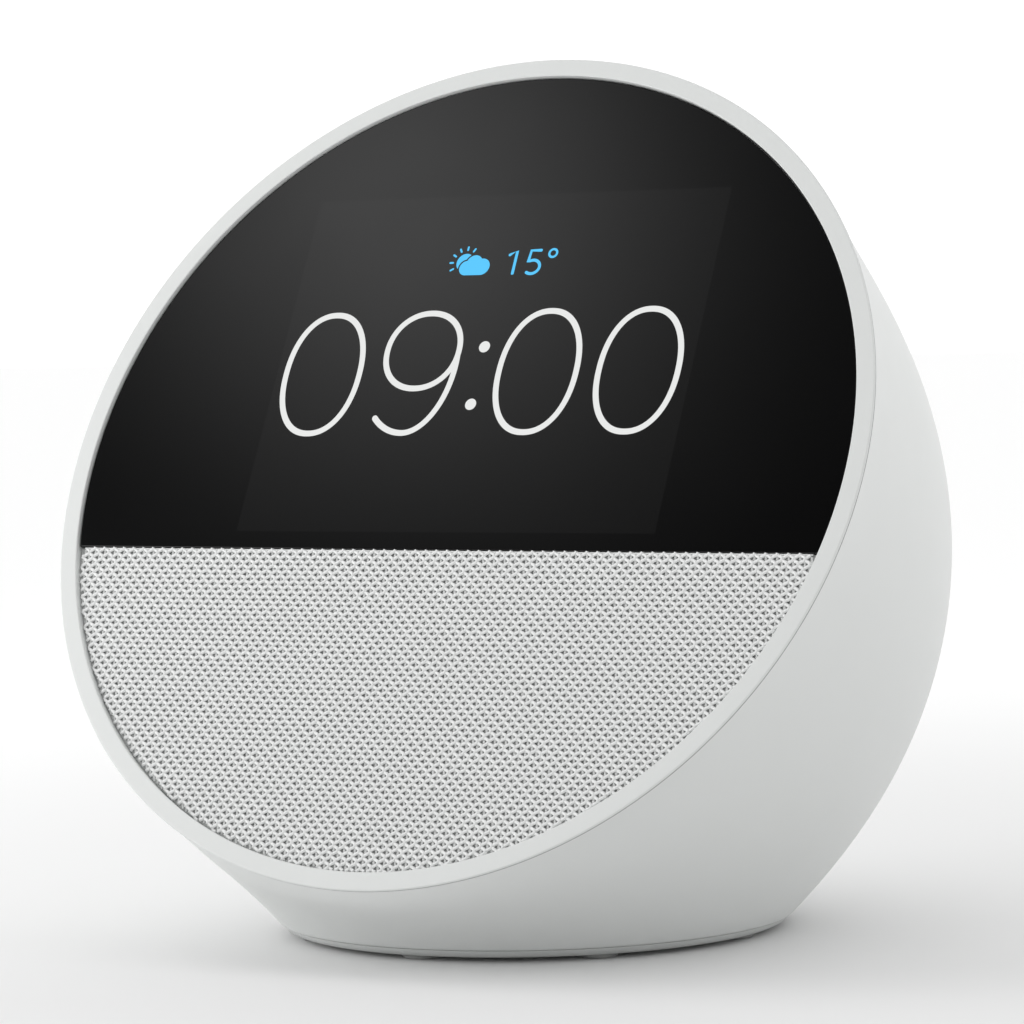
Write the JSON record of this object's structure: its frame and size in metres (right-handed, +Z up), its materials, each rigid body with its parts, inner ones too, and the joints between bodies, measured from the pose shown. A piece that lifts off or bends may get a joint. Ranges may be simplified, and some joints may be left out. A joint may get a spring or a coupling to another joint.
{
  "type": "smart display",
  "caption": "Round bedside smart display: a tilted circular face with a display above and a knitted loudspeaker grille below, on a smooth shell with a flat foot.",
  "frame": {"origin": "on the surface it stands on, under the middle of the body's bounding box", "axes": "+Z up, -Y the way the face looks, +X to the right of someone facing the display"},
  "size_m": [0.113, 0.1011, 0.11],
  "materials": {
    "shell_plastic": "fine satin, pale cool grey-white",
    "rim_plastic": "satin, pale cool grey-white",
    "cover_glass": "polished, printed black behind",
    "knit": "open knitted net, white thread",
    "dark_plastic": "fine matte",
    "clear_adhesive": "clear, soft",
    "foam_tape": "matte foam",
    "lcd_stack": "dark polarised glass",
    "light_box": "white diffusing film",
    "tin_plate": "tin plated sheet",
    "flex_film": "amber film",
    "board": "solder mask",
    "chip": "moulded resin",
    "screw_steel": "zinc plated",
    "spreader": "stamped sheet",
    "connector": "ivory nylon",
    "cone_paper": "pressed black paper",
    "surround_rubber": "matte",
    "spider_cloth": "resin treated weave",
    "copper_coil": "enamelled copper wire",
    "ferrite": "sintered dark grey",
    "plated_iron": "zinc plated",
    "wire_sleeve": "insulation",
    "soft_seal": "silicone",
    "foot_rubber": "grey, matte",
    "pad": "soft thermal pad"
  },
  "bodies": {
    "housing": {"rear_shell": "shell_plastic", "front_bezel": "rim_plastic", "display_glass": "cover_glass", "glass_adhesive": "foam_tape", "optical_adhesive": "clear_adhesive", "touch_sensor": "lcd_stack", "lcd_panel": "lcd_stack", "backlight": "light_box", "lcd_tray": "tin_plate", "display_flex": "flex_film", "light_sensor": "chip", "grille_fabric": "knit", "grille_frame": "dark_plastic", "mid_frame": "dark_plastic", "bezel_screws": "screw_steel", "speaker_gasket": "foam_tape", "speaker_basket": "dark_plastic", "speaker_surround": "surround_rubber", "spider": "spider_cloth", "top_plate": "plated_iron", "speaker_magnet": "ferrite", "yoke": "plated_iron", "speaker_screws": "screw_steel", "speaker_wires": "wire_sleeve", "main_board": "board", "board_screws": "screw_steel", "processor": "chip", "memory_chip": "chip", "thermal_pad": "pad", "shield_can": "tin_plate", "heat_spreader": "spreader", "board_connectors": "connector", "antennas": "flex_film", "support_frame": "dark_plastic", "button_carrier": "dark_plastic", "button_board": "board", "button_switches": "screw_steel", "button_flex": "flex_film", "microphones": "tin_plate", "mic_seals": "soft_seal", "power_board": "board", "dc_jack": "dark_plastic", "jack_collar": "shell_plastic", "power_wires": "wire_sleeve", "base_plate": "shell_plastic", "rubber_feet": "foot_rubber", "base_screws": "screw_steel"},
    "volume_down": {"volume_down_button": "shell_plastic"},
    "action": {"action_button": "shell_plastic"},
    "volume_up": {"volume_up_button": "shell_plastic"},
    "cone": {"speaker_cone": "cone_paper", "dust_cap": "cone_paper", "voice_coil": "copper_coil"}
  },
  "joints": [
    {"name": "volume_down_press", "type": "slide", "parent": "housing", "child": "volume_down", "axis": [0.3029, -0.5539, -0.7755], "range_m": [0, 0.0005], "stiffness_N_per_m": 400},
    {"name": "action_press", "type": "slide", "parent": "housing", "child": "action", "axis": [0, -0.5772, -0.8166], "range_m": [0, 0.0005], "stiffness_N_per_m": 400},
    {"name": "volume_up_press", "type": "slide", "parent": "housing", "child": "volume_up", "axis": [-0.3029, -0.5539, -0.7755], "range_m": [0, 0.0005], "stiffness_N_per_m": 400},
    {"name": "cone_travel", "type": "slide", "parent": "housing", "child": "cone", "axis": [0, -0.8829, 0.4695], "range_m": [-0.001, 0.001], "stiffness_N_per_m": 1000}
  ]
}
